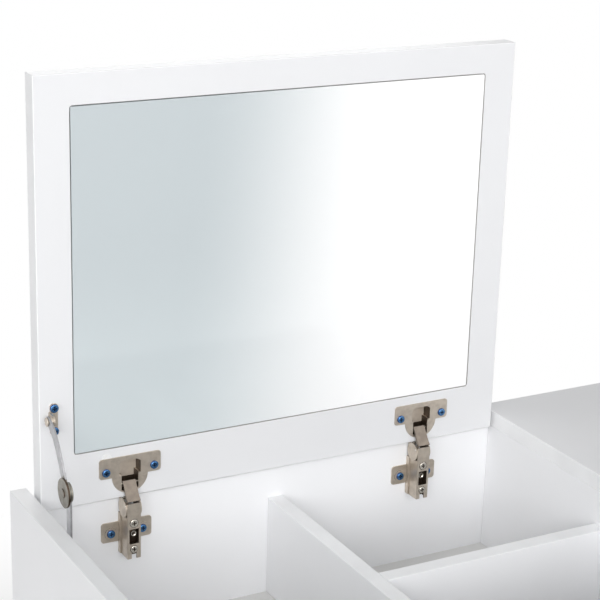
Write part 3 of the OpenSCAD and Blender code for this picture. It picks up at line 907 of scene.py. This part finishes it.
@dataclass
class HingeCups(SoftenedParts):
    """The hinge cups: painted light on the pocket's upper floor, and painted shade on its throat,
    its walls and under the flange's rim.
    """

    floor_deep: float = 3.0
    painted_shadow_top: float = 15.8
    flange_front: float = -1.2
    rim_front: float = -0.6
    mouth: float = 0.2
    cup_back: float = 11.0

    def shape(self, mesh: bmesh.types.BMesh) -> None:
        """Part the pocket's floor where its painted light ends and painted shade begins, and round
        the edges.

        Args:
            mesh: the surface of one cup.
        """
        bmesh.ops.bisect_plane(
            mesh,
            geom=[*mesh.verts, *mesh.edges, *mesh.faces],
            plane_co=(Vector(LID_CORNER) + Vector((0.0, 0.0, self.painted_shadow_top))) * MM,
            plane_no=(0.0, 0.0, 1.0),
        )
        super().shape(mesh)

    def zone(self, face: bmesh.types.BMFace) -> int:
        """Tell the parts of a cup.

        Args:
            face: a face of a cup.

        Returns:
            0 outside, 1 (painted light) on the pocket's upper floor and 2 (painted shade) on its
            lower floor, on its walls and under the flange.
        """
        middle = face.calc_center_median()
        at = in_lid_frame(middle)
        # Painted light on the pocket's upper floor, painted shade on the throat below it.
        if self.floor_deep < at.y < self.cup_back and face.normal.y < -FACING:
            return 1 if at.z > self.painted_shadow_top else 2
        # Painted shade on the pocket's walls.
        if at.y > self.mouth and face.normal.x * from_hinge(middle) < 0:
            return 2
        # Painted shadow under the flange's rim.
        under = self.flange_front < at.y < self.rim_front and face.normal.z < -FACING
        return 2 if under else 0


@dataclass
class HingeArms(SoftenedParts):
    """The hinge arms, with painted shade on the cut edges of the front wall and on the inside that
    shows under the strap.
    """

    front: float = -10.0
    sheet: float = 1.2
    slack: float = 0.1
    cut_band: Span = (0.08, 1.15)
    half: float = 6.3
    inner_half: float = 3.0
    outer_half: float = 6.8
    top_end: float = -2.2
    set_back: float = 2.6

    def shape(self, mesh: bmesh.types.BMesh) -> None:
        """Set the front wall's upper end back from the strap, and round the edges.

        Args:
            mesh: the surface of one arm.
        """
        wall = self.front + self.sheet + self.slack
        for vert in mesh.verts:
            at = in_lid_frame(vert.co)
            near = abs(from_hinge(vert.co)) < self.outer_half
            if near and at.y < wall and at.z > self.top_end:
                vert.co.z -= self.set_back * MM
        super().shape(mesh)

    def zone(self, face: bmesh.types.BMFace) -> int:
        """Tell the cut edges and the inside of an arm from its outside.

        Args:
            face: a face of an arm.

        Returns:
            1 (painted shade) on the cut edges of the front wall and on the inside, else 0.
        """
        middle = face.calc_center_median()
        depth = in_lid_frame(middle).y - self.front
        across = from_hinge(middle)
        if abs(across) > self.outer_half:
            return 0
        # Painted shade: the front wall's cut edges, the inside and the back of the wall.
        cut = self.cut_band[0] < depth < self.cut_band[1] and abs(across) < self.half
        cut = cut and abs(face.normal.y) < ASIDE
        inward = face.normal.x * across < -self.inner_half and depth > self.sheet
        behind = face.normal.y > FACING and depth < self.sheet + self.slack
        return int(inward or behind or cut)


@dataclass
class HingeStraps(SoftenedParts):
    """The outer links, whose strap reaches down to the arm and up into the cup."""

    lower_corners: tuple[Span, ...] = ((-7.74, -0.69), (-8.72, 0.01))
    lower_near: float = 0.1
    lower_reach: float = 2.3
    upper_corners: tuple[Span, ...] = ((1.05, 13.59), (1.14, 13.52))
    upper_near: float = 0.06
    upper_reach: float = 1.4
    upward: Span = (0.584, 0.812)

    def shape(self, mesh: bmesh.types.BMesh) -> None:
        """Lengthen the strap at its two ends, and round the edges.

        Args:
            mesh: the surface of one link.
        """
        way = Vector((0.0, *self.upward)) * MM
        for vert in mesh.verts:
            if self._is_near(vert, self.upper_corners, self.upper_near):
                vert.co += way * self.upper_reach
            elif self._is_near(vert, self.lower_corners, self.lower_near):
                vert.co -= way * self.lower_reach
        super().shape(mesh)

    @staticmethod
    def _is_near(vert: bmesh.types.BMVert, corners: Iterable[Span], reach: float) -> bool:
        """Whether a vertex, seen from the side, lies within reach of one of some corners."""
        at = in_lid_frame(vert.co)
        return any(math.dist((at.y, at.z), corner) < reach for corner in corners)


@dataclass
class MountingPlates(SoftenedParts):
    """The mounting plates, with painted shade on the rib behind the arm's window and round the
    bosses.
    """

    rib_front: float = -2.0
    rib_deep: float = 0.4
    boss: Span = (7.7, 8.3)

    def zone(self, face: bmesh.types.BMFace) -> int:
        """Tell the dark parts of a plate.

        Args:
            face: a face of a plate.

        Returns:
            1 (painted shade) on the rib's front and the bosses' sides, else 0.
        """
        depth = in_lid_frame(face.calc_center_median()).y
        rib = depth < self.rib_front + self.rib_deep
        side = self.boss[0] < depth < self.boss[1] and abs(face.normal.y) < ASIDE
        return int(rib or side)


@dataclass
class WindowScrews:
    """The domed locking screw on each mounting plate, seen through the arm's window."""

    head_r: float = 3.1
    seat: float = -2.0
    front: float = -5.6
    height: float = -37.2
    offset: float = 1.8
    dome: float = 1.5
    socket_r: float = 1.3
    socket_deep: float = 1.2
    near: float = 0.05
    sides: int = 36
    steps: int = 4

    def build(self) -> None:
        """Make one screw head for each hinge."""
        for side, middle in zip(("left", "right"), HINGE_MIDDLES):
            mesh = bmesh.new()
            mesh.faces.layers.int.new(ROUNDING)
            centre = Vector((middle + self.offset, (self.seat + self.front) / 2, self.height))
            place = Matrix.Translation((Vector(LID_CORNER) + centre) * MM)
            bmesh.ops.create_cone(
                mesh,
                cap_ends=True,
                segments=self.sides,
                radius1=self.head_r * MM,
                radius2=self.head_r * MM,
                depth=(self.seat - self.front) * MM,
                matrix=place @ Matrix.Rotation(math.pi / 2, 4, "X"),
            )
            mesh.normal_update()
            crown = min(mesh.faces, key=lambda face: face.normal.y)
            ring = bmesh.ops.inset_region(
                mesh, faces=[crown], thickness=(self.head_r - self.socket_r) * MM
            )["faces"]
            edges = dict.fromkeys(edge for face in ring for edge in face.edges)
            rim = [edge for edge in edges if self._at_rim(edge, middle)]
            bmesh.ops.translate(mesh, verts=crown.verts, vec=(0.0, self.socket_deep * MM, 0.0))
            Workshop.round_off(mesh, rim, self.dome, self.steps)
            socket = max(
                mesh.faces, key=lambda face: len(face.verts) * (face.normal.y < -SQUARE)
            )
            # The socket takes painted shade.
            socket.material_index = 1
            Workshop.publish(
                f"{side}_window_screw", mesh, f"{side}_mounting_plate", [PIN_STEEL, STEEL_CROSS_SHADE]
            )

    def _at_rim(self, edge: bmesh.types.BMEdge, middle: float) -> bool:
        """Find the rim of a head's front.

        Args:
            edge: an edge of a head's front.
            middle: the middle of its hinge.

        Returns:
            Whether both ends of the edge lie on the rim.
        """
        for vert in edge.verts:
            at = in_lid_frame(vert.co)
            radius = math.hypot(at.x - middle - self.offset, at.z - self.height)
            if abs(radius - self.head_r) > self.near:
                return False
        return True


@dataclass
class StayArms(SoftenedParts):
    """The stay's flat arms, with darker sheared edges and painted shade on their eyes round the
    drum.
    """

    knuckle: Span = (-52.0, 40.0)
    eye_r: float = 12.5
    flat: float = 0.8

    def zone(self, face: bmesh.types.BMFace) -> int:
        """Tell the eye and the edges of an arm from its flat sides.

        Args:
            face: a face of an arm or of its bracket.

        Returns:
            2 (painted shade) round the drum, 1 on the edges, else 0.
        """
        at = in_lid_frame(face.calc_center_median())
        if math.dist((at.y, at.z), self.knuckle) < self.eye_r:
            return 2
        return int(abs(face.normal.x) < self.flat)


@dataclass
class BowedArm(StayArms):
    """The stay's upper arm, which bows a little to the front between its two ends."""

    upper_end: Span = (-9.5, 91.0)
    bow: float = 6.5
    lean: float = 0.6
    cuts: int = 14

    def shape(self, mesh: bmesh.types.BMesh) -> None:
        """Cut the bar across, bow it and round its edges.

        Args:
            mesh: the surface of the arm.
        """
        first = Vector((0.0, *self.upper_end))
        span = Vector((0.0, *self.knuckle)) - first
        way = span.normalized()
        front = Vector((0.0, way.z, -way.y))
        for step in range(1, self.cuts):
            bmesh.ops.bisect_plane(
                mesh,
                geom=[*mesh.verts, *mesh.edges, *mesh.faces],
                plane_co=(Vector(LID_CORNER) + first + span * step / self.cuts) * MM,
                plane_no=way,
            )
        for vert in mesh.verts:
            share = (in_lid_frame(vert.co) - first).dot(way) / span.length
            if 0.0 < share < 1.0:
                vert.co += front * self.bow * MM * math.sin(math.pi * share**self.lean)
        super().shape(mesh)


@dataclass
class StayDrum(SoftenedParts):
    """The stay's friction drum: a pale face and rivet, and painted shade on its side."""

    flat: float = 0.6

    def zone(self, face: bmesh.types.BMFace) -> int:
        """1 (painted shade) on the side, else 0."""
        return int(abs(face.normal.x) < self.flat)


def assemblies() -> list[SoftenedParts | WindowScrews | Boards | DressedSolids]:
    """The sub-assemblies of the table.

    Returns:
        What is built, in building order.
    """
    drawers = ("top", "middle", "bottom")
    cabinet = {
        "left_side_panel": Axis.X,
        "centre_wall": Axis.X,
        "right_side_panel": Axis.X,
        "bay_back_panel": Axis.Y,
        "long_divider": Axis.X,
        "cross_divider": Axis.Y,
        "pedestal_bottom": Axis.Z,
        "plinth_rail": Axis.Y,
        "rear_stretcher": Axis.Y,
    }
    fronts = {"fixed_top": Axis.Z, "front_apron": Axis.Y}
    fronts.update({f"{name}_drawer_front": Axis.Y for name in drawers})
    hardboards = ["pedestal_back", *(f"{name}_drawer_bottom" for name in drawers)]
    lid_screws = ["cup_screws", "mounting_plate_screws", "stay_lid_screws"]
    inner_metal = ["left_inner_link", "right_inner_link", "arm_pins", "cup_pins"]
    blue_painted_shade = (BLUE_RIM_SHADE, BLUE_CROSS_SHADE)
    stay_edge_and_eye_shade = (STAY_EDGE, DRUM_NICKEL_AND_EYE_SHADE)
    runners = ["cabinet_runners", *(f"{name}_drawer_runners" for name in drawers)]
    return [
        Boards(cabinet),
        Boards(fronts, FRONT_LAMINATE_SHADED),
        LidBoard({"lid_board": Axis.Y}, FRONT_LAMINATE_SHADED, others=(BARE_BOARD_AND_GAP_SHADE, EDGE_LINE_SHADE)),
        Boards({"bay_floor": Axis.Z}, BAY_FLOOR_SHADED),
        DressedSolids(LAMINATE, [f"{name}_drawer_box" for name in drawers]),
        DressedSolids(HARDBOARD, hardboards),
        SoftenedParts(MIRROR_PAINTED_REFLECTION, ["mirror_glass"], radius=0.6, least=0.2),
        HingeCups(NICKEL, ["left_hinge_cup", "right_hinge_cup"], (POCKET_FLOOR_LIT, PAINTED_SHADE_NICKEL)),
        HingeArms(NICKEL, ["left_hinge_arm", "right_hinge_arm"], (PAINTED_SHADE_NICKEL,)),
        MountingPlates(NICKEL, ["left_mounting_plate", "right_mounting_plate"], (PAINTED_SHADE_NICKEL,)),
        HingeStraps(LINK_NICKEL_SHADED, ["left_outer_link", "right_outer_link"]),
        SoftenedParts(PIN_STEEL, inner_metal, radius=0.15),
        PanHeadScrews(PIN_STEEL, ["hinge_adjusting_screws"], (STEEL_RIM_SHADE, STEEL_CROSS_SHADE)),
        WindowScrews(),
        PanHeadScrews(BLUE_ZINC, lid_screws, blue_painted_shade),
        PanHeadScrews(BLUE_ZINC, ["stay_side_screws"], blue_painted_shade, outward=(1.0, 0.0, 0.0)),
        StayArms(STAY_PALE, ["stay_side_bracket", "stay_lower_arm"], stay_edge_and_eye_shade),
        BowedArm(STAY_ZINC, ["stay_upper_arm"], stay_edge_and_eye_shade),
        SoftenedParts(NICKEL, ["stay_lid_bracket"]),
        StayDrum(DRUM_NICKEL_AND_EYE_SHADE, ["stay_knuckle"], (PAINTED_SHADE_NICKEL,), radius=0.35),
        SoftenedParts(KNOB_NICKEL, [f"{name}_drawer_knob" for name in drawers], radius=0.3),
        DressedSolids(GALVANISED, runners),
        DressedSolids(CAST_ZINC, ["cam_locks"]),
        DressedSolids(WHITE_PLASTIC, ["floor_glides", "hole_cap"]),
        DressedSolids(CLEAR_PAD, ["lid_bumpers"]),
        DressedSolids(BEECH, ["dowels"]),
    ]


# ---------------------------------------------------------------------------------------------
# Studio
# ---------------------------------------------------------------------------------------------


@dataclass(frozen=True)
class Softbox:
    """A square soft lamp that faces a point, with its power in watts."""

    name: str
    place: Point
    power: float
    size: float = 4.5
    aim: Point = (-0.1, 0.0, 0.8)

    def build(self) -> None:
        """Put up the lamp."""
        data = bpy.data.lights.new(self.name, "AREA")
        data.shape = "SQUARE"
        data.size = self.size
        data.energy = self.power
        lamp = bpy.data.objects.new(self.name, data)
        lamp.location = self.place
        towards = Vector(self.aim) - Vector(self.place)
        lamp.rotation_euler = towards.to_track_quat("-Z", "Y").to_euler()
        bpy.context.scene.collection.objects.link(lamp)


@dataclass
class Studio:
    """The floor, the soft lamps, the world and the camera, whose eye is in millimetres."""

    yaw: float = 28.839
    pitch: float = 18.11
    roll: float = 1.64
    eye: Point = (-968.87, -1177.56, 1422.75)
    lens: float = 103.9
    sensor: float = 36.0
    nearest: float = 0.01
    ambient: float = 0.31
    white: Colour = (1.0, 1.0, 1.0)
    floor_size: float = 60.0
    floor_tone: Colour = (0.84, 0.84, 0.84)
    floor_fade: Span = (0.7, 1.7)
    lamps: tuple[Softbox, ...] = (
        Softbox("left_softbox", (-6.61, -3.76, 3.54), 145.0),
        Softbox("front_softbox", (-4.3, -6.23, 3.54), 192.0),
        Softbox("near_softbox", (-1.41, -7.4, 3.54), 214.0),
        Softbox("top_softbox", (-1.26, -3.18, 8.05), 24.0),
        Softbox("right_softbox", (4.56, -5.55, 4.18), 60.0),
        Softbox("rear_softbox", (2.6, 7.2, 1.9), 110.0, 3.6, (-0.1, 0.0, 0.5)),
    )

    def build(self) -> None:
        """Set up everything around the table."""
        self._world()
        self._floor()
        for lamp in self.lamps:
            lamp.build()
        self._camera()
        bpy.context.scene.view_settings.view_transform = "Standard"

    def _camera(self) -> None:
        """Stand the camera at the photograph's viewing angle."""
        yaw, pitch, roll = (math.radians(angle) for angle in (self.yaw, self.pitch, self.roll))
        forward = Vector(
            (math.sin(yaw) * math.cos(pitch), math.cos(yaw) * math.cos(pitch), -math.sin(pitch))
        )
        right = Vector((math.cos(yaw), -math.sin(yaw), 0.0))
        upward = right.cross(forward)
        turned_right = math.cos(roll) * right + math.sin(roll) * upward
        turned_up = -math.sin(roll) * right + math.cos(roll) * upward
        data = bpy.data.cameras.new("camera")
        data.lens = self.lens
        data.sensor_width = self.sensor
        data.clip_start = self.nearest
        camera = bpy.data.objects.new("camera", data)
        turn = Matrix((turned_right, turned_up, -forward)).transposed()
        camera.matrix_world = Matrix.Translation(Vector(self.eye) * MM) @ turn.to_4x4()
        bpy.context.scene.collection.objects.link(camera)
        bpy.context.scene.camera = camera

    @staticmethod
    def _background_ray(tree: NodeTree) -> Signal:
        """Tell the rays that show the plain background from those that light the table.

        Args:
            tree: the tree that asks.

        Returns:
            1 for a ray from the camera, from a reflection or through glass, else 0.
        """
        path = tree.add("ShaderNodeLightPath")
        rays = path.out("Is Camera Ray") + path.out("Is Glossy Ray")
        return (rays + path.out("Is Transmission Ray")).within(0.0, 1.0)

    def _world(self) -> None:
        """Light the table evenly from all round, before a white background."""
        world = bpy.data.worlds.new("world")
        bpy.context.scene.world = world
        world.use_nodes = True
        tree = NodeTree(world.node_tree)
        strength = self.ambient + (1.0 - self.ambient) * self._background_ray(tree)
        inputs = {"Color": self.white, "Strength": strength}
        light = tree.add("ShaderNodeBackground", None, inputs).out("Background")
        tree.add("ShaderNodeOutputWorld", None, {"Surface": light})

    def _floor(self) -> None:
        """Lay the floor."""
        mesh = bmesh.new()
        bmesh.ops.create_grid(mesh, x_segments=1, y_segments=1, size=self.floor_size / 2)
        data = bpy.data.meshes.new("floor")
        mesh.to_mesh(data)
        mesh.free()
        data.materials.append(self._floor_paint())
        floor = bpy.data.objects.new("floor", data)
        bpy.context.scene.collection.objects.link(floor)

    def _floor_paint(self) -> bpy.types.Material:
        """Mix the floor's paint, which fades to white away from the table.

        Returns:
            The material.
        """
        made = bpy.data.materials.new("pale_floor")
        made.use_nodes = True
        tree = NodeTree(made.node_tree)
        length = {"operation": "LENGTH"}
        reach = tree.add("ShaderNodeVectorMath", length, {0: tree.position()}).out("Value")
        fade = self._background_ray(tree) * reach.within(*self.floor_fade)
        painted = tree.add("ShaderNodeBsdfDiffuse", None, {"Color": self.floor_tone}).out("BSDF")
        white = tree.add("ShaderNodeEmission", None, {"Color": self.white}).out("Emission")
        mixed = tree.add("ShaderNodeMixShader", None, {0: fade, 1: painted, 2: white})
        tree.finish(mixed.out("Shader"))
        return made


def main() -> None:
    """Build the studio and every sub-assembly, and note the size of the result."""
    logging.basicConfig(level=logging.INFO, format="%(name)s %(message)s")
    Studio().build()
    for assembly in assemblies():
        assembly.build()


if __name__ == "__main__":
    main()
